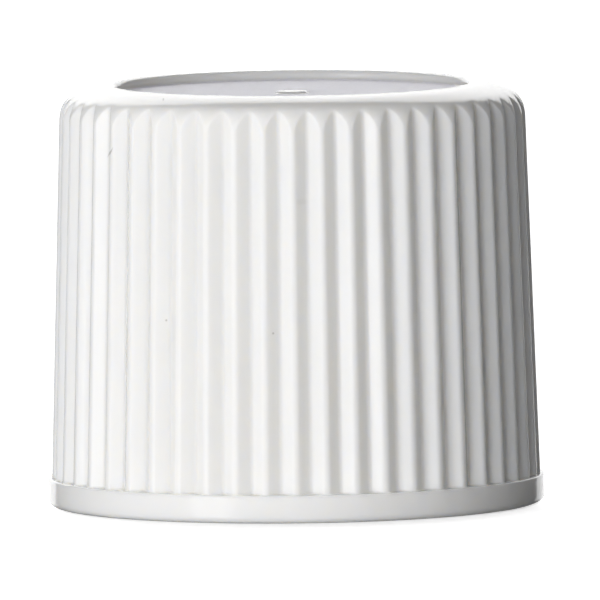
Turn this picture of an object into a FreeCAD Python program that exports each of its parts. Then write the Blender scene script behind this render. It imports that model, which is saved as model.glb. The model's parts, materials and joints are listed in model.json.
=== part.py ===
"""White continuous thread cap with a ribbed skirt, and the sealing liner that sits inside it.

The cap stands on its open mouth. The origin is the centre of the mouth's rim, +Z is the cap's
axis and points to the closed top. All sizes are in millimetres and all angles in degrees.
"""
import FreeCAD
import Part
import math
import os

# Outside of the cap: its width follows from the bore, the skirt's wall, the ribs and the ledge
cap_height = 20.0
skirt_wall = 1.16
band_height = 1.33
band_foot_radius = 0.3
band_top_chamfer = 0.06
ledge_width = 0.16
skirt_draft = 1.8

# Grip ribs
rib_count = 50
groove_depth = 0.43
groove_root_width = 0.14
crown_rounding = 0.25

# Closed top: a rounded shoulder, a gently domed ring and a shallow recess
shoulder_radius = 1.38
ring_dome_radius = 4.0
ring_width = 3.43
recess_depth = 0.47
recess_rim_chamfer = 0.22
recess_corner_chamfer = 0.18

# Gate mark that the moulding leaves at the centre of the recess
gate_base_diameter = 1.5
gate_tip_diameter = 1.3
gate_height = 0.09

# Inside: the bore is the root of the screw thread, and ends in a shallow seat for the liner
bore_diameter = 20.1
mouth_chamfer = 0.35
top_wall = 1.33
liner_seat_step = 0.3

# Liner
liner_thickness = 1.0
liner_clearance = 0.05

# The rounding of a rib stands this much proud of the skirt, so that it ends in a clean edge
rounding_proud = 0.004

# Heights and radii that follow from the sizes above
bore_radius = bore_diameter / 2
skirt_foot_radius = bore_radius + skirt_wall + groove_depth
band_radius = skirt_foot_radius + ledge_width
seat_radius = bore_radius - liner_seat_step
recess_radius = band_radius - ring_width
recess_floor = cap_height - recess_depth
ceiling = recess_floor - top_wall
liner_face = ceiling - liner_thickness


def skirt_radius(height):
    """Radius of the rib crowns at a height: the draft narrows the skirt towards the top."""
    return skirt_foot_radius - (height - band_height) * math.tan(math.radians(skirt_draft))


def point(radius, height):
    """A point of the cap's half section."""
    return FreeCAD.Vector(radius, 0, height)


def arc(centre, radius, start_angle, end_angle):
    """Arc of the half section, from one angle to the other; 0 points outwards and 90 up."""
    ends = []
    for angle in (start_angle, (start_angle + end_angle) / 2, end_angle):
        turn = math.radians(angle)
        ends.append(centre + point(radius * math.cos(turn), radius * math.sin(turn)))
    return Part.Arc(ends[0], ends[1], ends[2]).toShape()


def shoulder_centre(dome_centre):
    """Centre of the shoulder arc, which touches both the domed ring and the drafted skirt.

    It lies on a line parallel to the skirt, one shoulder radius inside it, at the distance from
    the dome's centre that lets the two arcs run into each other.
    """
    draft = math.radians(skirt_draft)
    outward = point(math.cos(draft), math.sin(draft))
    upward = point(-math.sin(draft), math.cos(draft))
    foot = point(skirt_foot_radius, band_height) - outward * shoulder_radius
    reach = ring_dome_radius - shoulder_radius
    offset = foot - dome_centre
    along = offset.dot(upward)
    return foot + upward * (math.sqrt(along ** 2 - offset.dot(offset) + reach ** 2) - along)


def top_edges():
    """Half section of the closed top, from the axis out to the end of the shoulder.

    The shoulder's arc is passed on as a spline of the same shape. Turned and then cut by all
    the grooves, it takes about half as many triangles as a plain arc does.
    """
    gate_tip = gate_tip_diameter / 2
    gate_base = gate_base_diameter / 2
    gate_top = recess_floor + gate_height
    rim_foot = cap_height - recess_rim_chamfer
    rim_end = recess_radius + recess_rim_chamfer
    dome_centre = point(rim_end, cap_height - ring_dome_radius)
    turn_centre = shoulder_centre(dome_centre)
    reach = turn_centre - dome_centre
    join_angle = math.degrees(math.atan2(reach.z, reach.x))
    floor_end = recess_radius - recess_corner_chamfer
    corner_top = recess_floor + recess_corner_chamfer
    return [
        Part.makeLine(point(0, gate_top), point(gate_tip, gate_top)),
        Part.makeLine(point(gate_tip, gate_top), point(gate_base, recess_floor)),
        Part.makeLine(point(gate_base, recess_floor), point(floor_end, recess_floor)),
        Part.makeLine(point(floor_end, recess_floor), point(recess_radius, corner_top)),
        Part.makeLine(point(recess_radius, corner_top), point(recess_radius, rim_foot)),
        Part.makeLine(point(recess_radius, rim_foot), point(rim_end, cap_height)),
        arc(dome_centre, ring_dome_radius, 90, join_angle),
        arc(turn_centre, shoulder_radius, join_angle, skirt_draft).toNurbs().Edges[0],
    ]


def band_edges():
    """Half section of the smooth base band: ledge, broken top edge, wall, rounded foot."""
    ledge_end = band_radius - band_top_chamfer
    wall_top = band_height - band_top_chamfer
    foot_end = band_radius - band_foot_radius
    return [
        Part.makeLine(point(skirt_foot_radius, band_height), point(ledge_end, band_height)),
        Part.makeLine(point(ledge_end, band_height), point(band_radius, wall_top)),
        Part.makeLine(point(band_radius, wall_top), point(band_radius, band_foot_radius)),
        arc(point(foot_end, band_foot_radius), band_foot_radius, 0, -90),
    ]


def bore_edges():
    """Half section of the inside: mouth rim, chamfer, thread root wall, liner seat and ceiling."""
    foot_end = band_radius - band_foot_radius
    mouth_radius = bore_radius + mouth_chamfer
    return [
        Part.makeLine(point(foot_end, 0), point(mouth_radius, 0)),
        Part.makeLine(point(mouth_radius, 0), point(bore_radius, mouth_chamfer)),
        Part.makeLine(point(bore_radius, mouth_chamfer), point(bore_radius, liner_face)),
        Part.makeLine(point(bore_radius, liner_face), point(seat_radius, liner_face)),
        Part.makeLine(point(seat_radius, liner_face), point(seat_radius, ceiling)),
        Part.makeLine(point(seat_radius, ceiling), point(0, ceiling)),
        Part.makeLine(point(0, ceiling), point(0, recess_floor + gate_height)),
    ]


def turned_body():
    """The cap before its ribs: the half section turned once round the axis."""
    top = top_edges()
    shoulder_end = top[-1].Vertexes[-1].Point
    skirt = Part.makeLine(shoulder_end, point(skirt_foot_radius, band_height))
    section = Part.Wire(top + [skirt] + band_edges() + bore_edges())
    return Part.Face(section).revolve(FreeCAD.Vector(0, 0, 0), FreeCAD.Vector(0, 0, 1), 360)


def flat_point(x, y):
    """A point of a groove's cross section, at the height of the band's top."""
    return FreeCAD.Vector(x, y, band_height)


def flat_arc(centre, radius, start_turn, end_turn):
    """Arc of a groove's cross section, between two angles in radians."""
    ends = []
    for turn in (start_turn, (start_turn + end_turn) / 2, end_turn):
        ends.append(centre + FreeCAD.Vector(radius * math.cos(turn), radius * math.sin(turn), 0))
    return Part.Arc(ends[0], ends[1], ends[2]).toShape()


def groove_section():
    """Cross section of one groove between two ribs, open to the outside of the skirt.

    A narrow flat makes the root and an arc rounds each rib. The walls are straight lines from
    the root's edges that touch those arcs. The ribs nearly meet at the top, where the skirt is
    narrowest, and the draft leaves a wider crown between the grooves further down.
    """
    narrowest = skirt_radius(cap_height)
    half_pitch = math.pi / rib_count
    half_width = (narrowest + rounding_proud) * math.sin(half_pitch) - rounding_proud
    root_edge = flat_point(skirt_foot_radius - groove_depth, groove_root_width / 2)
    crown_x = skirt_foot_radius - half_width * math.tan(half_pitch / 2) + rounding_proud
    crown = flat_point(crown_x - crown_rounding * math.cos(half_pitch),
                       half_width - crown_rounding * math.sin(half_pitch))
    across = crown - root_edge
    wall = math.atan2(across.x, across.y) + math.asin(crown_rounding / across.Length)
    wall_end = crown + FreeCAD.Vector(math.cos(wall), -math.sin(wall), 0) * crown_rounding
    crown_edge = flat_point(crown_x, half_width)
    outer_edge = flat_point(band_radius + groove_depth, half_width)
    right_side = [
        Part.makeLine(root_edge, wall_end),
        flat_arc(crown, crown_rounding, -wall, half_pitch),
        Part.makeLine(crown_edge, outer_edge),
    ]
    left_side = [edge.mirror(FreeCAD.Vector(0, 0, 0), FreeCAD.Vector(0, 1, 0)) for edge in right_side]
    root = Part.makeLine(flat_point(root_edge.x, -root_edge.y), root_edge)
    outside = Part.makeLine(flat_point(outer_edge.x, -outer_edge.y), outer_edge)
    edges = Part.__sortEdges__([root] + right_side + [outside] + left_side)
    return Part.Face(Part.Wire(edges))


def grooves():
    """All the grooves: one drawn up along the drafted skirt, then repeated round the axis."""
    rise = cap_height - band_height
    lean = skirt_radius(cap_height) - skirt_foot_radius
    groove = groove_section().extrude(FreeCAD.Vector(lean, 0, rise))
    around = []
    for number in range(rib_count):
        copy = groove.copy()
        copy.rotate(FreeCAD.Vector(0, 0, 0), FreeCAD.Vector(0, 0, 1), 360 * number / rib_count)
        around.append(copy)
    return around


def make_cap_shell():
    """The moulded cap: its grooves run out by themselves where the shoulder curves inwards."""
    return turned_body().cut(grooves()).removeSplitter()


def make_liner():
    """The sealing disc: it lies in its seat, flat against the ceiling of the cap."""
    radius = seat_radius - liner_clearance
    return Part.makeCylinder(radius, liner_thickness, FreeCAD.Vector(0, 0, liner_face))


os.makedirs("parts", exist_ok=True)
make_cap_shell().exportStep("parts/cap_shell.step")
make_liner().exportStep("parts/liner.step")
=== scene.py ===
# %% [markdown]
# # A ribbed screw cap, dressed for the camera
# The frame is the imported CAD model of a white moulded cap: one shell and one sealing liner. The
# solids have the true sizes, but small rounded edges are plain breaks there and the screw
# thread is left out. This script makes the moulded surface again with every small rounding,
# adds the thread, and gives the plastic and the liner their finish. Lengths are in metres.

# %% Load the frame
import json
import math
import bpy
import numpy as np
from mathutils import Matrix, Vector


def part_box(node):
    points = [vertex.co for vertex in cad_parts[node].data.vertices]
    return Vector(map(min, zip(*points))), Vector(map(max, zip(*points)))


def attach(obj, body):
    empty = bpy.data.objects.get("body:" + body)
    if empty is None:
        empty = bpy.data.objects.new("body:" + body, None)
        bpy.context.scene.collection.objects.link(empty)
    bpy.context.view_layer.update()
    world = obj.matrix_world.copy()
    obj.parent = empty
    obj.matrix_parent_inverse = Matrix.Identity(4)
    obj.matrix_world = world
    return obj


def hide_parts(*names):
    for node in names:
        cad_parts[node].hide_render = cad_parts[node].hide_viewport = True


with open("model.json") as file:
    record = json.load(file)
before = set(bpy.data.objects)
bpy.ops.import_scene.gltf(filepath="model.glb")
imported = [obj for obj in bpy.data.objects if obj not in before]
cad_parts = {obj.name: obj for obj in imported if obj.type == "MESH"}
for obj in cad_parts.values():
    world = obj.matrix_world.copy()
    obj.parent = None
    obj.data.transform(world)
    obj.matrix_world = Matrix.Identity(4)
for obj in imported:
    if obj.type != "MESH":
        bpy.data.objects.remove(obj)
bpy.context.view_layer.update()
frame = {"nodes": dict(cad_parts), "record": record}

# %% [markdown]
# ## Sizes
# The frame gives the outer sizes: the band's radius and the height come from the shell's box,
# the liner's place from its own box, and the thread's root from the record's mount. They could
# be typed in, but read from the frame they follow the CAD model. The rest are the sizes that
# the mould maker would write on the drawing, each one given where it is first used.

# %% Read the driving sizes from the frame
mm = 0.001
_, shell_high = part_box("cap_shell")
liner_low, liner_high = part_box("liner")
mounts = {mount["name"]: mount for mount in frame["record"]["mounts"]}
cap_height = shell_high.z
band_radius = shell_high.x
bore_radius = mounts["neck_thread"]["dims"]["r_mm"] * mm
liner_face = liner_low.z
ceiling = liner_high.z
print("cap height, band radius, bore radius:", cap_height, band_radius, bore_radius)

# %% Sizes of the skirt
band_height = 1.33 * mm
ledge_width = 0.16 * mm
skirt_foot_radius = band_radius - ledge_width
draft = math.radians(1.8)


def skirt_radius(height):
    """Radius of the rib crowns: the foot radius less the height above the band times tan(draft)."""
    return skirt_foot_radius - (height - band_height) * math.tan(draft)


print("skirt radius at foot and top:", skirt_foot_radius, round(skirt_radius(cap_height), 6))

# %% [markdown]
# ## The cross section of the ribs
# Fifty ribs stand round the skirt. Between two of them is a shallow groove, and one groove has
# the same section from top to bottom: a small root arc, two straight walls and a larger arc
# that rounds each rib. The mould slides it up along the drafted skirt without changing it. It
# could be a displacement map, but real geometry keeps the arches where the grooves run out.

# %% Helper for arcs
def arc_points(centre, radius, start, end, count):
    """Points of an arc: centre plus radius times (cos a, sin a), with a in even steps."""
    angle = np.linspace(start, end, count)
    return np.stack([centre[0] + radius * np.cos(angle), centre[1] + radius * np.sin(angle)], 1)


# %% Draw one pitch of the section
rib_count = 50
half_pitch = math.pi / rib_count
groove_depth = 0.43 * mm
root_radius = 0.2 * mm
crown_rounding = 0.25 * mm


def groove_pitch():
    """Points of one pitch from rib to rib, in the groove's own axes, x outwards and y sideways.

    The wall touches both arcs: its tilt is the direction from root centre to crown centre plus
    the arcsine of the two radii over the distance between the centres.
    """
    half_width = skirt_radius(cap_height) * math.sin(half_pitch)
    crown_x = skirt_foot_radius - half_width * math.tan(half_pitch / 2)
    root = (skirt_foot_radius - groove_depth + root_radius, 0.0)
    crown = (crown_x - crown_rounding * math.cos(half_pitch),
             half_width - crown_rounding * math.sin(half_pitch))
    across = (crown[0] - root[0], crown[1] - root[1])
    tilt = math.atan2(across[0], across[1])
    tilt += math.asin((root_radius + crown_rounding) / math.hypot(*across))
    root_arc = arc_points(root, root_radius, math.pi, math.pi - tilt, count=4)
    crown_arc = arc_points(crown, crown_rounding, -tilt, half_pitch, count=5)
    middle = (root_arc[-1:] + crown_arc[:1]) / 2
    right = np.concatenate([root_arc, middle, crown_arc])
    left = right[:0:-1] * [1, -1]
    rib_middle = skirt_foot_radius * np.array([[math.cos(half_pitch), math.sin(half_pitch)]])
    return np.concatenate([left, right, rib_middle])


pitch = groove_pitch()
print("columns in a pitch:", len(pitch), "in the cap:", len(pitch) * rib_count)

# %% [markdown]
# ## Where the grooves run out
# Every point of the section draws one slanted line up the skirt. The line ends where it meets
# the rounded shoulder, and the row of those ends is the row of little arches under the top. A
# Boolean modifier could cut the grooves, but it would leave uneven faces along the arches. Here
# a bisection finds all the ends at once, and the mesh then has a row of points on them.

# %% Centre of the shoulder arc
shoulder_radius = 1.38 * mm
ring_dome_radius = 4.0 * mm
recess_radius = 8.37 * mm
recess_rim_radius = 0.24 * mm
dome_centre = np.array([recess_radius + recess_rim_radius, cap_height - ring_dome_radius])


def touching_centre():
    """Centre of the arc that touches both the domed ring and the skirt.

    It lies on a line parallel to the skirt, one shoulder radius inside it. With o from the
    dome's centre to the foot of that line, u the unit vector up the line and d the difference
    of the two radii, it is the square root of (o.u) squared less o.o plus d squared, less o.u,
    up from the foot.
    """
    outward = np.array([math.cos(draft), math.sin(draft)])
    upward = np.array([-math.sin(draft), math.cos(draft)])
    foot = np.array([skirt_foot_radius, band_height]) - shoulder_radius * outward
    offset = foot - dome_centre
    along = offset @ upward
    difference = ring_dome_radius - shoulder_radius
    return foot + upward * (math.sqrt(along**2 - offset @ offset + difference**2) - along)


shoulder_centre = touching_centre()
dome_to_shoulder = shoulder_centre - dome_centre
join_angle = math.atan2(dome_to_shoulder[1], dome_to_shoulder[0])
print("shoulder centre in mm:", shoulder_centre / mm, "join in degrees:", math.degrees(join_angle))

# %% Slanted lines up the skirt
section = np.tile(pitch, (rib_count, 1))
groove_azimuth = np.repeat(np.arange(rib_count) * 2 * half_pitch, len(pitch))
lean_azimuth = np.tile(np.append(np.zeros(len(pitch) - 1), half_pitch), rib_count)


def on_skirt(height):
    """Radius and azimuth of every line at a height.

    The section's point less the height above the band times tan(draft), taken along the middle
    of the groove, or along the middle of the rib for the last point of each pitch.
    """
    inwards = (height - band_height) * math.tan(draft)
    x = section[:, 0] - inwards * np.cos(lean_azimuth)
    y = section[:, 1] - inwards * np.sin(lean_azimuth)
    return np.hypot(x, y), groove_azimuth + np.arctan2(y, x)


print("slanted lines:", len(section))


# %% Find the end of every line
def shoulder_reach(height):
    """Radius of the shoulder at a height: its centre's plus sqrt(r squared less dz squared)."""
    return shoulder_centre[0] + np.sqrt(shoulder_radius**2 - (height - shoulder_centre[1]) ** 2)


skirt_end = shoulder_centre[1] + shoulder_radius * math.sin(draft)
low = np.full(len(section), skirt_end)
high = np.full(len(section), shoulder_centre[1] + shoulder_radius * math.sin(join_angle))
halvings = 40
for _ in range(halvings):
    middle = (low + high) / 2
    below = shoulder_reach(middle) > on_skirt(middle)[0]
    low = np.where(below, middle, low)
    high = np.where(below, high, middle)
line_end = low
# The last line of each pitch goes up the middle of a rib, straight into the shoulder
line_end[len(pitch) - 1::len(pitch)] = skirt_end
arch_azimuth = on_skirt(line_end)[1]
print("arches from", line_end.min() / mm, "to", line_end.max() / mm, "mm")

# %% [markdown]
# ## Profiles with soft corners
# A moulded edge is never quite sharp, and a smooth shaded mesh needs a narrow row of faces on
# each side of a corner to keep the light from smearing across it. A Bevel modifier could add
# them, but it would catch the ribs too. This helper puts two guard points on each side of every
# corner of a profile, and pulls the corner itself a little inwards.

# %% Helper for the corners of a profile
def pulled_corner(before, corner, after):
    """A corner pulled towards its neighbours: half the corner and a quarter of each."""
    return corner / 2 + before / 4 + after / 4


def soft_corners(points, width):
    """Each inner point P becomes five: P plus 3 and 1 widths back, P pulled towards its
    neighbours, and P plus 1 and 3 widths on. The widths shrink on short runs."""
    points = np.array(points)
    corner = points[1:-1]
    back = points[:-2] - corner
    on = points[2:] - corner
    back_length = np.linalg.norm(back, axis=1, keepdims=True)
    on_length = np.linalg.norm(on, axis=1, keepdims=True)
    # Three widths from each end must leave a gap between them, so a run holds seven
    step = np.minimum(width, np.minimum(back_length, on_length) / 7)
    near_back = corner + back / back_length * step
    near_on = corner + on / on_length * step
    five = np.stack([
        corner + back / back_length * step * 3,
        near_back,
        pulled_corner(near_back, corner, near_on),
        near_on,
        corner + on / on_length * step * 3,
    ], 1)
    return np.concatenate([points[:1], five.reshape(-1, 2), points[-1:]])


# %% [markdown]
# ## The closed top
# From the middle outwards: the gate mark where the plastic entered the mould, the flat recess
# floor, its small corner, the low wall, the rounded rim and the gently domed ring, which runs
# into the shoulder. A Screw modifier could turn this profile round the axis. Here it only gives
# rows, which are turned with the columns of the ribs, so that both meet point on point.

# %% Profile of the gate mark and the recess floor
recess_depth = 0.47 * mm
recess_floor = cap_height - recess_depth
recess_corner_radius = 0.2 * mm
gate_height = 0.09 * mm
gate_tip_radius = 0.67 * mm
gate_foot_radius = 0.75 * mm
gate_crease = 0.02 * mm
gate_profile = soft_corners([
    (gate_crease, recess_floor + gate_height),
    (gate_tip_radius, recess_floor + gate_height),
    (gate_foot_radius, recess_floor),
    (recess_radius - 2 * recess_corner_radius, recess_floor),
], gate_crease)
print("rows of the gate mark and the floor:", len(gate_profile))

# %% Profile of the whole top
corner_arc = arc_points((recess_radius - recess_corner_radius, recess_floor + recess_corner_radius),
                        recess_corner_radius, -math.pi / 2, 0, count=5)
rim_arc = arc_points((recess_radius + recess_rim_radius, cap_height - recess_rim_radius),
                     recess_rim_radius, math.pi, math.pi / 2, count=7)
ring_arc = arc_points(dome_centre, ring_dome_radius, math.pi / 2, join_angle, count=7)[1:]
top_profile = np.concatenate([gate_profile, corner_arc, rim_arc, ring_arc])
print("rows of the top:", len(top_profile))

# %% [markdown]
# ## The band and the inside
# Below the ribs a smooth band goes round the foot, with a narrow ledge on top. The profile goes
# on under the mouth, up the bore, past the seat that holds the liner and along the ceiling. The
# inside could be a second surface, but in one profile the wall closes by itself at the mouth.

# %% Profiles of the band and the inside
band_top_radius = 0.08 * mm
band_foot_radius = 0.3 * mm
mouth_chamfer = 0.35 * mm
liner_seat_step = 0.3 * mm
seat_radius = bore_radius - liner_seat_step
ceiling_hole = 0.05 * mm
crease = 0.03 * mm
band_top_arc = arc_points((band_radius - band_top_radius, band_height - band_top_radius),
                          band_top_radius, math.pi / 2, 0, count=5)
band_wall = np.array([
    (band_radius, band_height - band_top_radius - 2 * crease),
    (band_radius, band_foot_radius + 2 * crease),
])
foot_arc = arc_points((band_radius - band_foot_radius, band_foot_radius),
                      band_foot_radius, 0, -math.pi / 2, count=8)
inside = soft_corners([
    (band_radius - band_foot_radius - 2 * crease, 0.0),
    (bore_radius + mouth_chamfer, 0.0),
    (bore_radius, mouth_chamfer),
    (bore_radius, liner_face),
    (seat_radius, liner_face),
    (seat_radius, ceiling),
    (ceiling_hole, ceiling),
], crease)
lower_profile = np.concatenate([band_top_arc, band_wall, foot_arc, inside])
print("rows of the band and inside:", len(lower_profile))

# %% [markdown]
# ## The whole moulded surface
# On the real cap all of this is one moulding. It could be put together from several meshes, but
# then seams would show where they meet. So the shell is one closed grid. Its columns are the
# lines of the section, its rows go down the profile: top, shoulder, skirt, ledge, band and
# inside. Only the shoulder, skirt and ledge rows differ from column to column.

# %% Helper for rows of points
def ring_points(radius, azimuth, height):
    """Points (r cos a, r sin a, z), where each of r, a and z may be a number, a row or a grid."""
    radius, azimuth, height = np.broadcast_arrays(radius, azimuth, height)
    return np.stack([radius * np.cos(azimuth), radius * np.sin(azimuth), height], -1)


# %% Rows of the top and the shoulder
arch_crease = 0.08 * mm


def shoulder_rows(count):
    """Down the shoulder arc, from the join to each line's own end.

    The angle goes in even steps to three creases above the end, then on to one crease above it.
    """
    end_angle = np.arcsin((line_end - shoulder_centre[1]) / shoulder_radius)
    stop = end_angle + 3 * arch_crease / shoulder_radius
    share = np.linspace(0, 1, count)[1:, None]
    angle = join_angle + share * (stop - join_angle)
    angle = np.concatenate([angle, [end_angle + arch_crease / shoulder_radius]])
    radius = shoulder_centre[0] + shoulder_radius * np.cos(angle)
    height = shoulder_centre[1] + shoulder_radius * np.sin(angle)
    return ring_points(radius, arch_azimuth, height)


top = ring_points(top_profile[:, :1], arch_azimuth, top_profile[:, 1:])
shoulder = shoulder_rows(count=11)
print("rows of the shoulder:", len(shoulder))


# %% Rows of the skirt, from the arches down to the ledge
def skirt_row(height):
    """One row on the slanted lines, at a height that may differ from line to line."""
    return ring_points(*on_skirt(height), height)


below_arch = [skirt_row(line_end - arch_crease), skirt_row(line_end - 3 * arch_crease)]
arch_row = pulled_corner(shoulder[-1], skirt_row(line_end), below_arch[0])
middle_count = 3
skirt_share = np.linspace(0, 1, middle_count + 2)[1:-1, None]
skirt_stop = band_height + 3 * crease
skirt_heights = (line_end - 3 * arch_crease) * (1 - skirt_share) + skirt_stop * skirt_share
skirt_middle = [skirt_row(height) for height in skirt_heights]
above_ledge = [skirt_row(skirt_stop), skirt_row(band_height + crease)]
print("rows of the skirt:", 1 + len(below_arch) + len(skirt_middle) + len(above_ledge))

# %% Rows of the ledge, and all of them in one grid
foot_radius, foot_azimuth = on_skirt(band_height)
ledge_share = np.array([0.1, 0.3, 0.7])[:, None]
ledge_radius = foot_radius + ledge_share * (band_radius - band_top_radius - foot_radius)
ledge = ring_points(ledge_radius, foot_azimuth, band_height)
ledge_corner = pulled_corner(above_ledge[-1], skirt_row(band_height), ledge[0])
lower = ring_points(lower_profile[:, :1], foot_azimuth, lower_profile[:, 1:])
rows = np.concatenate([
    top, shoulder, [arch_row], below_arch, skirt_middle, above_ledge, [ledge_corner], ledge, lower,
])
print("grid:", rows.shape)

# %% [markdown]
# ## From grid to mesh
# Every cell of the grid is one four-sided face. The two ends of the profile lie close to the
# axis, so a fan of triangles closes each of them round a pole. The faces could be listed one
# by one in a loop, but whole arrays of corner numbers are shorter and much faster.

# %% Helpers for the faces of a closed grid
def grid_faces(row_count, column_count):
    """Cell (i, j) takes the corners (i, j), (i+1, j), (i+1, j+1), (i, j+1); columns close."""
    i = np.arange(row_count - 1)[:, None] * column_count
    j = np.arange(column_count)[None, :]
    k = (j + 1) % column_count
    return np.stack([i + j, i + column_count + j, i + column_count + k, i + k], 2).reshape(-1, 4)


def fan(pole, first, count, last_end):
    """Triangles (pole, j, j+1) round the ring of points from first on, or (pole, j+1, j) at the
    last end of a grid, so that they face outwards there too."""
    ring = first + np.arange(count)
    following = first + (np.arange(count) + 1) % count
    sides = (following, ring) if last_end else (ring, following)
    return np.stack([np.full(count, pole), *sides], 1)


# %% Helper that makes a piece from a closed grid
def new_piece(name, grid, first_pole, last_pole):
    """A smooth shaded mesh object: the grid's cells, and a fan round a pole at each end."""
    row_count, column_count = grid.shape[:2]
    count = row_count * column_count
    points = np.concatenate([grid.reshape(-1, 3), [first_pole, last_pole]])
    quads = grid_faces(row_count, column_count)
    triangles = np.concatenate([
        fan(count, 0, column_count, last_end=False),
        fan(count + 1, count - column_count, column_count, last_end=True),
    ])
    mesh = bpy.data.meshes.new(name)
    mesh.from_pydata(points, [], quads.tolist() + triangles.tolist())
    mesh.polygons.foreach_set("use_smooth", np.ones(len(mesh.polygons), bool))
    mesh.update()
    piece = bpy.data.objects.new(name, mesh)
    bpy.context.scene.collection.objects.link(piece)
    print(name, "faces:", len(mesh.polygons))
    return piece


# %% Make the shell
shell = new_piece("moulded_shell", rows, (0, 0, rows[0, 0, 2]), (0, 0, ceiling))
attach(shell, "root")
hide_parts("cap_shell")

# %% [markdown]
# ## The screw thread
# The ridge that grips the bottle's neck is one rounded wedge carried along a helix on the bore
# wall. It fades in and out at its ends, as a moulded ridge does, so that it can be unscrewed
# from the core of the mould. A curve with a bevel could make it, but a grid gives the fade.

# %% Section of the ridge
thread_crest_radius = 9.15 * mm
thread_depth = bore_radius - thread_crest_radius
thread_foot_half = 0.95 * mm
thread_crest_half = 0.3 * mm
thread_crease = 0.05 * mm
sunk = 0.03 * mm
flank = soft_corners([
    (-sunk, -thread_foot_half),
    (0.0, -thread_foot_half),
    (thread_depth, -thread_crest_half),
    (thread_depth, thread_crest_half),
    (0.0, thread_foot_half),
    (-sunk, thread_foot_half),
], thread_crease)
print("thread depth in mm:", thread_depth / mm)

# %% Carry it along the helix
thread_pitch = 3.175 * mm
thread_turns = 2.0
thread_start = 2.1 * mm
steps_per_turn = 180
fade_turn = math.pi / 4
end_width = 0.4


def thread_ridge():
    """Helix: at turn angle t the section sits at height start plus pitch t / 2 pi, azimuth t.

    The section goes from the wall to the crest and back; its depth is scaled by a fade that
    rises as sin squared over the first and last eighth of a turn, and its width shrinks less.
    """
    turn = np.linspace(0, 2 * math.pi * thread_turns, int(steps_per_turn * thread_turns) + 1)
    ends = np.minimum(turn, turn[-1] - turn) / fade_turn
    fade = np.sin(np.clip(ends, 0, 1) * math.pi / 2)[:, None] ** 2
    turn = turn[:, None]
    inwards = np.maximum(flank[:, 0], 0) * fade + np.minimum(flank[:, 0], 0)
    side = flank[:, 1] * (end_width + (1 - end_width) * fade)
    height = thread_start + thread_pitch * turn / (2 * math.pi) + side
    return ring_points(bore_radius - inwards, turn, height)


ridge = thread_ridge()
thread = new_piece("neck_thread_ridge", ridge, ridge[0].mean(0), ridge[-1].mean(0))
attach(thread, "root")

# %% [markdown]
# ## Bricks for the finishes
# Every finish here is built from a few nodes: a noise that reads the piece's own object
# coordinates, a map that stretches its values, a mix of two near colours and a bump. A painted
# image could do the same, but object coordinates need no unwrapping and no file, and the
# pattern stays still on the piece when the camera moves.

# %% Helpers for a new material, a noise and a map
def new_material(name):
    """An empty node material: itself, its nodes, its links and its Principled shader."""
    material = bpy.data.materials.new(name)
    material.use_nodes = True
    nodes = material.node_tree.nodes
    return material, nodes, material.node_tree.links, nodes["Principled BSDF"]


def noise_on_object(nodes, links, scale, detail):
    """A noise texture that reads the piece's own object coordinates."""
    place = nodes.new("ShaderNodeTexCoord")
    noise = nodes.new("ShaderNodeTexNoise")
    noise.inputs["Scale"].default_value = scale
    noise.inputs["Detail"].default_value = detail
    links.new(place.outputs["Object"], noise.inputs["Vector"])
    return noise.outputs["Fac"]


def spread(nodes, links, value, low, high, start=0.0, end=1.0):
    """Maps a value from start..end to low..high, and holds the end values outside."""
    ramp = nodes.new("ShaderNodeMapRange")
    ramp.inputs["From Min"].default_value = start
    ramp.inputs["From Max"].default_value = end
    ramp.inputs["To Min"].default_value = low
    ramp.inputs["To Max"].default_value = high
    links.new(value, ramp.inputs["Value"])
    return ramp.outputs["Result"]


# %% Helpers for a mix of two near colours and a bump
def tone(nodes, links, value, dark, light):
    """Mixes two near colours by a value."""
    mix = nodes.new("ShaderNodeMix")
    mix.data_type = "RGBA"
    mix.inputs["A"].default_value = (*dark, 1)
    mix.inputs["B"].default_value = (*light, 1)
    links.new(value, mix.inputs["Factor"])
    return mix.outputs["Result"]


def add_bump(nodes, links, value, shader, strength, distance):
    """Raises the shader's normal by a height value."""
    bump = nodes.new("ShaderNodeBump")
    bump.inputs["Strength"].default_value = strength
    bump.inputs["Distance"].default_value = distance
    links.new(value, bump.inputs["Height"])
    links.new(bump.outputs["Normal"], shader.inputs["Normal"])


# %% [markdown]
# ## The finish of the white plastic
# The shell is moulded from white polypropylene. Polished mould steel leaves it glossy, with a
# very faint waviness, and light travels about a millimetre under its surface, which softens the
# shade between the ribs. One plain colour would look like paint, so noise drives a weak bump
# and small changes of roughness and tone.

# %% Glossy white polypropylene
plastic_ior = 1.49
light_travel = 1.0 * mm
gloss_white, nodes, links, shader = new_material("gloss_white_plastic")
flow = noise_on_object(nodes, links, scale=300, detail=3)
clean = tone(nodes, links, flow, dark=(0.84, 0.835, 0.825), light=(0.865, 0.86, 0.85))
links.new(spread(nodes, links, flow, low=0.11, high=0.17), shader.inputs["Roughness"])
shader.inputs["IOR"].default_value = plastic_ior
shader.inputs["Subsurface Weight"].default_value = 1.0
shader.inputs["Subsurface Radius"].default_value = (1.0, 0.95, 0.85)
shader.inputs["Subsurface Scale"].default_value = light_travel
wave = noise_on_object(nodes, links, scale=900, detail=2)
add_bump(nodes, links, wave, shader, strength=0.05, distance=0.05 * mm)
shell.data.materials.append(gloss_white)
thread.data.materials.append(gloss_white)
print("material of shell and thread:", gloss_white.name)

# %% [markdown]
# ## Faint marks
# The photographed cap is nearly clean. It has a hair scratch high on the left, a short one on
# the ring, two dots and a smudge. They could be painted on an image, but a small ellipsoid in
# space does it with no file: the surface turns greyer where it passes through the ellipsoid.

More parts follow.
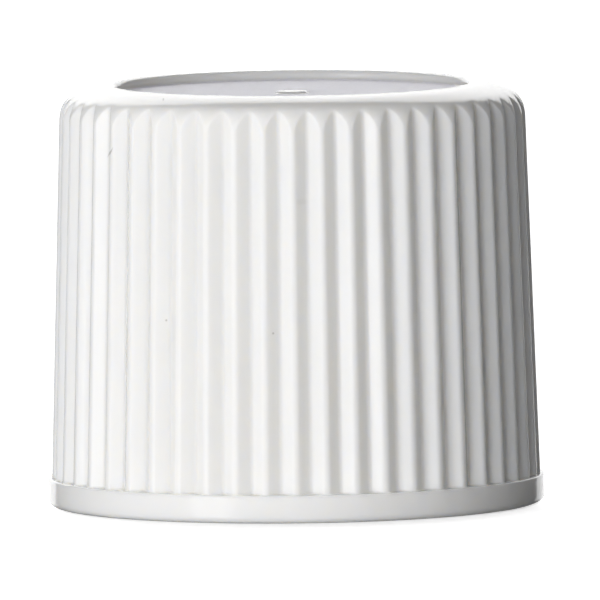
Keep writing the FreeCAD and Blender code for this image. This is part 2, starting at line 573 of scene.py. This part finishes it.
# %% Helpers for the marks
def faint_mark(nodes, links, place, half_size, lean, strength):
    """An ellipsoid, sizes in mm: full strength up to 0.4 of its half sizes, none beyond them."""
    where = nodes.new("ShaderNodeTexCoord")
    around_mark = nodes.new("ShaderNodeMapping")
    around_mark.vector_type = "TEXTURE"
    around_mark.inputs["Location"].default_value = [value * mm for value in place]
    around_mark.inputs["Rotation"].default_value = (0, math.radians(lean), 0)
    around_mark.inputs["Scale"].default_value = [value * mm for value in half_size]
    links.new(where.outputs["Object"], around_mark.inputs["Vector"])
    distance = nodes.new("ShaderNodeVectorMath")
    distance.operation = "LENGTH"
    links.new(around_mark.outputs["Vector"], distance.inputs[0])
    return spread(nodes, links, distance.outputs["Value"], 0.0, strength, 1.0, 0.4)


def calculate(nodes, links, operation, first, second=None):
    """One Math node on one value or on two."""
    step = nodes.new("ShaderNodeMath")
    step.operation = operation
    links.new(first, step.inputs[0])
    if second is not None:
        links.new(second, step.inputs[1])
    return step.outputs["Value"]


# %% Place the marks and tint them
hair_scratch = faint_mark(nodes, links, place=(-8.64, -7.0, 17.25),
                          half_size=(0.045, 1.5, 0.4), lean=27, strength=0.6)
ring_scratch = faint_mark(nodes, links, place=(-6.08, -7.6, 19.81),
                          half_size=(0.06, 0.3, 0.25), lean=0, strength=0.6)
left_dot = faint_mark(nodes, links, place=(-6.05, -9.4, 9.49),
                      half_size=(0.07, 1.0, 0.07), lean=0, strength=0.5)
middle_dot = faint_mark(nodes, links, place=(-1.01, -11.2, 8.97),
                        half_size=(0.07, 1.0, 0.07), lean=0, strength=0.5)
smudge = faint_mark(nodes, links, place=(0.42, -11.1, 15.16),
                    half_size=(0.35, 1.0, 0.2), lean=0, strength=0.08)
marks = hair_scratch
for mark in (ring_scratch, left_dot, middle_dot, smudge):
    marks = calculate(nodes, links, "MAXIMUM", marks, mark)
worn = nodes.new("ShaderNodeMix")
worn.data_type = "RGBA"
worn.inputs["B"].default_value = (0.35, 0.34, 0.32, 1)
links.new(clean, worn.inputs["A"])
links.new(marks, worn.inputs["Factor"])
links.new(worn.outputs["Result"], shader.inputs["Base Color"])
print("nodes of the white plastic:", len(nodes))

# %% [markdown]
# ## The stippled recess
# The floor of the recess was left spark eroded in the mould, so it is matt and grainy. It is the
# same plastic with a rough, finely pitted surface. Seen at a glancing angle it looks even and a
# little lilac: some sheen gives the evenness, and the lilac is a painted cast of reflected light,
# put as a cool tint into the grain's colour, the gloss and the sheen. It could be a piece of its
# own, but a second material on faces of the same mesh keeps the shell whole.

# %% Matt stippled polypropylene
stipple_white, nodes, links, shader = new_material("stippled_white_plastic")
grain = noise_on_object(nodes, links, scale=5000, detail=2)
# The grain's random tone sits on a painted lilac cast of reflected light
grain_tone_with_painted_cast = tone(nodes, links, grain, dark=(0.74, 0.735, 0.8), light=(1.0, 0.99, 1.0))
grain_roughness = spread(nodes, links, grain, low=0.35, high=0.7, start=0.3, end=0.7)
links.new(grain_tone_with_painted_cast, shader.inputs["Base Color"])
links.new(grain_roughness, shader.inputs["Roughness"])
shader.inputs["IOR"].default_value = plastic_ior
# Painted lilac cast of reflected light in the gloss
shader.inputs["Specular Tint"].default_value = (0.95, 0.94, 1.0, 1)
shader.inputs["Subsurface Weight"].default_value = 1.0
shader.inputs["Subsurface Radius"].default_value = (0.9, 0.9, 1.0)
shader.inputs["Subsurface Scale"].default_value = light_travel
shader.inputs["Sheen Weight"].default_value = 0.6
shader.inputs["Sheen Roughness"].default_value = 0.4
# Painted lilac cast of reflected light in the sheen
shader.inputs["Sheen Tint"].default_value = (0.93, 0.92, 1.0, 1)
add_bump(nodes, links, grain, shader, strength=0.9, distance=0.08 * mm)
shell.data.materials.append(stipple_white)
print("materials of the shell:", [material.name for material in shell.data.materials])

# %% Lay it on the faces between the gate mark and the middle of the floor's corner
column_count = rows.shape[1]
first_face_row = len(gate_profile) - 2
end_face_row = len(gate_profile) + len(corner_arc) // 2
zone = np.zeros(len(shell.data.polygons), int)
zone[first_face_row * column_count:end_face_row * column_count] = 1
shell.data.polygons.foreach_set("material_index", zone)
print("stippled faces:", zone.sum())

# %% [markdown]
# ## The liner
# The sealing disc is punched from a sheet of foamed plastic. The CAD node already has its
# shape, so it only gets its finish: soft and matt, with the fine cells of the foam. The cells
# could be modelled, but they are far smaller than a millimetre, so a Voronoi bump does it.

# %% Foam of the liner
foam, nodes, links, shader = new_material("soft_liner_foam")
place = nodes.new("ShaderNodeTexCoord")
cells = nodes.new("ShaderNodeTexVoronoi")
cells.inputs["Scale"].default_value = 5000
links.new(place.outputs["Object"], cells.inputs["Vector"])
cell = cells.outputs["Distance"]
cell_tone = tone(nodes, links, cell, dark=(0.8, 0.8, 0.78), light=(0.86, 0.86, 0.84))
links.new(cell_tone, shader.inputs["Base Color"])
shader.inputs["Roughness"].default_value = 0.7
add_bump(nodes, links, cell, shader, strength=0.4, distance=0.05 * mm)
liner = frame["nodes"]["liner"]
liner.data.materials.clear()
liner.data.materials.append(foam)
print("material of the liner:", foam.name)

# %% [markdown]
# ## The floor
# The cap stands on a plain white sheet. It could be lit white by lamps, but they would bleach
# the cap too. So for the camera the sheet glows white by itself, and the glow fades right in
# front of the cap's foot, where the photo has a soft contact shadow. Other rays meet a darker
# sheet. It doesn't hide the lower half of the low lamp, which stands for light that a shiny
# table throws back.

# %% Floor sheet
half_side = 0.6
floor_mesh = bpy.data.meshes.new("studio_floor")
floor_mesh.from_pydata([(-half_side, -half_side, 0), (half_side, -half_side, 0),
                        (half_side, half_side, 0), (-half_side, half_side, 0)],
                       [], [(0, 1, 2, 3)])
floor = bpy.data.objects.new("studio_floor", floor_mesh)
bpy.context.scene.collection.objects.link(floor)
floor.visible_glossy = False
floor.visible_shadow = False
print("side of the floor sheet in m:", 2 * half_side)

# %% Paper of the floor
floor_white = bpy.data.materials.new("floor_white")
floor_white.use_nodes = True
nodes = floor_white.node_tree.nodes
links = floor_white.node_tree.links
nodes.clear()
camera_ray = nodes.new("ShaderNodeLightPath").outputs["Is Camera Ray"]
paper = nodes.new("ShaderNodeBsdfDiffuse")
paper_tone = tone(nodes, links, camera_ray, dark=(0.25, 0.25, 0.25), light=(0.85, 0.85, 0.85))
links.new(paper_tone, paper.inputs["Color"])
print("material of the floor:", floor_white.name)


# %% Helpers for a direction and a mix of values
def direction_to(azimuth, elevation):
    """Unit vector from the cap: azimuth 0 points at the camera, positive to its right."""
    a = math.radians(azimuth)
    e = math.radians(elevation)
    return np.array([math.sin(a) * math.cos(e), -math.cos(a) * math.cos(e), math.sin(e)])


def mix_values(nodes, links, factor, first, second):
    """Mixes two values by a factor, each one a number or the output of a node."""
    mix = nodes.new("ShaderNodeMix")
    mix.data_type = "FLOAT"
    links.new(factor, mix.inputs["Factor"])
    for socket, value in ((mix.inputs["A"], first), (mix.inputs["B"], second)):
        if isinstance(value, float):
            socket.default_value = value
        else:
            links.new(value, socket)
    return mix.outputs["Result"]


# %% Soft shadow in front of the foot
shadow_reach = 5.0 * mm
shadow_start = -1.0 * mm
shadow_full = -5.0 * mm
to_back = nodes.new("ShaderNodeCombineXYZ")
for axis, value in zip("XYZ", direction_to(180, 20)):
    to_back.inputs[axis].default_value = value
open_sky = nodes.new("ShaderNodeAmbientOcclusion")
open_sky.inputs["Distance"].default_value = shadow_reach
links.new(to_back.outputs["Vector"], open_sky.inputs["Normal"])
on_floor = nodes.new("ShaderNodeTexCoord")
floor_place = nodes.new("ShaderNodeSeparateXYZ")
links.new(on_floor.outputs["Object"], floor_place.inputs["Vector"])
in_front = spread(nodes, links, floor_place.outputs["Y"], 0.0, 1.0, shadow_start, shadow_full)
shade = mix_values(nodes, links, in_front, 1.0, open_sky.outputs["AO"])
print("the shadow reaches", shadow_reach, "m")

# %% Glow of the floor, which is clear when the camera looks from below
glow = nodes.new("ShaderNodeEmission")
links.new(calculate(nodes, links, "MULTIPLY", camera_ray, shade), glow.inputs["Strength"])
lit_paper = nodes.new("ShaderNodeAddShader")
links.new(paper.outputs["BSDF"], lit_paper.inputs[0])
links.new(glow.outputs["Emission"], lit_paper.inputs[1])
clear = nodes.new("ShaderNodeBsdfTransparent")
back_side = nodes.new("ShaderNodeNewGeometry").outputs["Backfacing"]
from_below = calculate(nodes, links, "MULTIPLY", back_side, camera_ray)
one_sided = nodes.new("ShaderNodeMixShader")
links.new(from_below, one_sided.inputs["Fac"])
links.new(lit_paper.outputs["Shader"], one_sided.inputs[1])
links.new(clear.outputs["BSDF"], one_sided.inputs[2])
surface = nodes.new("ShaderNodeOutputMaterial")
links.new(one_sided.outputs["Shader"], surface.inputs["Surface"])
floor_mesh.materials.append(floor_white)
print("nodes of the floor:", len(nodes))

# %% [markdown]
# ## The room
# In the photo the cap mirrors a lit white wall behind it: the domed ring is bright, and a dark
# line shows where the wall ends. A large lamp could be the wall, but it would stand in other
# views. So the world holds the wall, brighter towards its top, with a dim room round it that
# is a little lighter overhead. The camera itself sees plain white.

# %% Directions of the room
world = bpy.data.worlds.new("studio_room")
bpy.context.scene.world = world
world.use_nodes = True
nodes = world.node_tree.nodes
links = world.node_tree.links
nodes.clear()
ray = nodes.new("ShaderNodeLightPath")
direction = nodes.new("ShaderNodeTexCoord")
split = nodes.new("ShaderNodeSeparateXYZ")
links.new(direction.outputs["Generated"], split.inputs["Vector"])
rise = split.outputs["Z"]
bearing = calculate(nodes, links, "ARCTAN2", split.outputs["X"], split.outputs["Y"])
off_back = calculate(nodes, links, "ABSOLUTE", bearing)
print("world:", world.name)


# %% White wall behind the cap
def rise_at(elevation):
    """How far a direction rises: the sine of its elevation in degrees."""
    return math.sin(math.radians(elevation))


side_gone, side_full = math.radians(30), math.radians(28)
top_gone, top_full = rise_at(43), rise_at(41)
foot_gone, foot_full = rise_at(-14), rise_at(-9)
wall_side = spread(nodes, links, off_back, 0.0, 1.0, side_gone, side_full)
wall_top = spread(nodes, links, rise, 0.0, 1.0, top_gone, top_full)
wall_foot = spread(nodes, links, rise, 0.0, 1.0, foot_gone, foot_full)
wall_height = calculate(nodes, links, "MULTIPLY", wall_foot, wall_top)
wall_area = calculate(nodes, links, "MULTIPLY", wall_side, wall_height)
wall_light = spread(nodes, links, rise, low=1.45, high=2.4, start=0.1, end=0.4)
print("the wall is full from rise", round(foot_full, 3), "to", round(top_full, 3))

# %% Dim room, light from above, and white for the camera
room_gloss = 0.12
overhead = spread(nodes, links, rise, low=0.06, high=0.26, start=0.4, end=0.9)
dim_room = mix_values(nodes, links, ray.outputs["Is Glossy Ray"], overhead, room_gloss)
room = mix_values(nodes, links, wall_area, dim_room, wall_light)
straight_seen = calculate(nodes, links, "MAXIMUM", ray.outputs["Is Camera Ray"],
                          ray.outputs["Is Transmission Ray"])
background = nodes.new("ShaderNodeBackground")
background.inputs["Color"].default_value = (1, 1, 1, 1)
links.new(mix_values(nodes, links, straight_seen, room, 1.0), background.inputs["Strength"])
sky = nodes.new("ShaderNodeOutputWorld")
links.new(background.outputs["Background"], sky.inputs["Surface"])
print("nodes of the world:", len(nodes))

# %% [markdown]
# ## The lamps
# A broad soft lamp stands low at the left of the camera. The ribs shade each other a little in
# it, and the right side falls off gently. A narrow strip further left is only there to be
# mirrored, as a window is in the photo. The world alone could light the cap, but lamps make
# cleaner shade. A lamp's radiance is its power over four times its area, so both powers follow
# from the brightness that is wanted.

# %% Helper for lamps
def soft_lamp(name, azimuth, elevation, distance, width, height, power):
    """A rectangular lamp that faces the middle of the cap."""
    light = bpy.data.lights.new(name, "AREA")
    light.shape = "RECTANGLE"
    light.size = width
    light.size_y = height
    light.energy = power
    lamp = bpy.data.objects.new(name, light)
    place = direction_to(azimuth, elevation) * distance
    lamp.location = place + np.array([0, 0, cap_height / 2])
    lamp.rotation_euler = Vector(-place).to_track_quat("-Z", "Y").to_euler()
    bpy.context.scene.collection.objects.link(lamp)
    return lamp


# %% Broad lamp and strip
lit_level = 0.8
plastic_tone = 0.86
broad_distance = 0.8
broad_power = 4 * lit_level / plastic_tone * math.pi * broad_distance**2
broad = soft_lamp("broad_soft_light", azimuth=-25, elevation=3, distance=broad_distance,
                  width=0.75, height=0.45, power=broad_power)
broad.visible_glossy = False
strip_radiance = 1.4
strip_distance = 0.6
strip_width = 2 * strip_distance * math.tan(math.radians(10.5))
strip_height = 0.5
strip_power = strip_radiance * 4 * strip_width * strip_height
strip = soft_lamp("window_strip", azimuth=-39.5, elevation=5, distance=strip_distance,
                  width=strip_width, height=strip_height, power=strip_power)
strip.visible_diffuse = False
print("lamp powers:", round(broad_power, 2), round(strip_power, 2))

# %% [markdown]
# ## The camera
# The photograph was taken from over a metre away with a long lens, a little above the cap's
# middle, and the camera was turned very slightly, so that the right side sits higher. The
# framing could be found by hand, but the focal length follows from the band's width in the
# picture, and the aim from where the cap's middle is seen.

# %% Camera and its lens
picture_width = 600
band_radius_in_pixels = 248
metres_per_pixel = band_radius / band_radius_in_pixels
camera_distance = 1.18
camera_data = bpy.data.cameras.new("photo_camera")
camera_data.sensor_width = 36
camera_data.lens = camera_data.sensor_width * camera_distance / (picture_width * metres_per_pixel)
camera_data.clip_start = 0.05
camera_data.clip_end = 20
camera = bpy.data.objects.new("photo_camera", camera_data)
bpy.context.scene.collection.objects.link(camera)
bpy.context.scene.camera = camera
print("lens:", round(camera_data.lens, 1), "mm")

# %% Aim and turn the camera
camera_elevation = 4.6
camera_roll = math.radians(0.64)
aim_pixel = (294.2, 292.5)
aim_height = 10.0 * mm
back = Vector(direction_to(0, camera_elevation))
turn = back.to_track_quat("Z", "Y").to_matrix() @ Matrix.Rotation(-camera_roll, 3, "Z")
aim = Vector((0, 0, aim_height))
aim += turn @ Vector(((picture_width / 2 - aim_pixel[0]) * metres_per_pixel,
                      (aim_pixel[1] - picture_width / 2) * metres_per_pixel, 0))
camera.matrix_world = Matrix.Translation(aim + back * camera_distance) @ turn.to_4x4()
bpy.context.scene.view_settings.view_transform = "Standard"
print("camera at:", camera.matrix_world.translation)
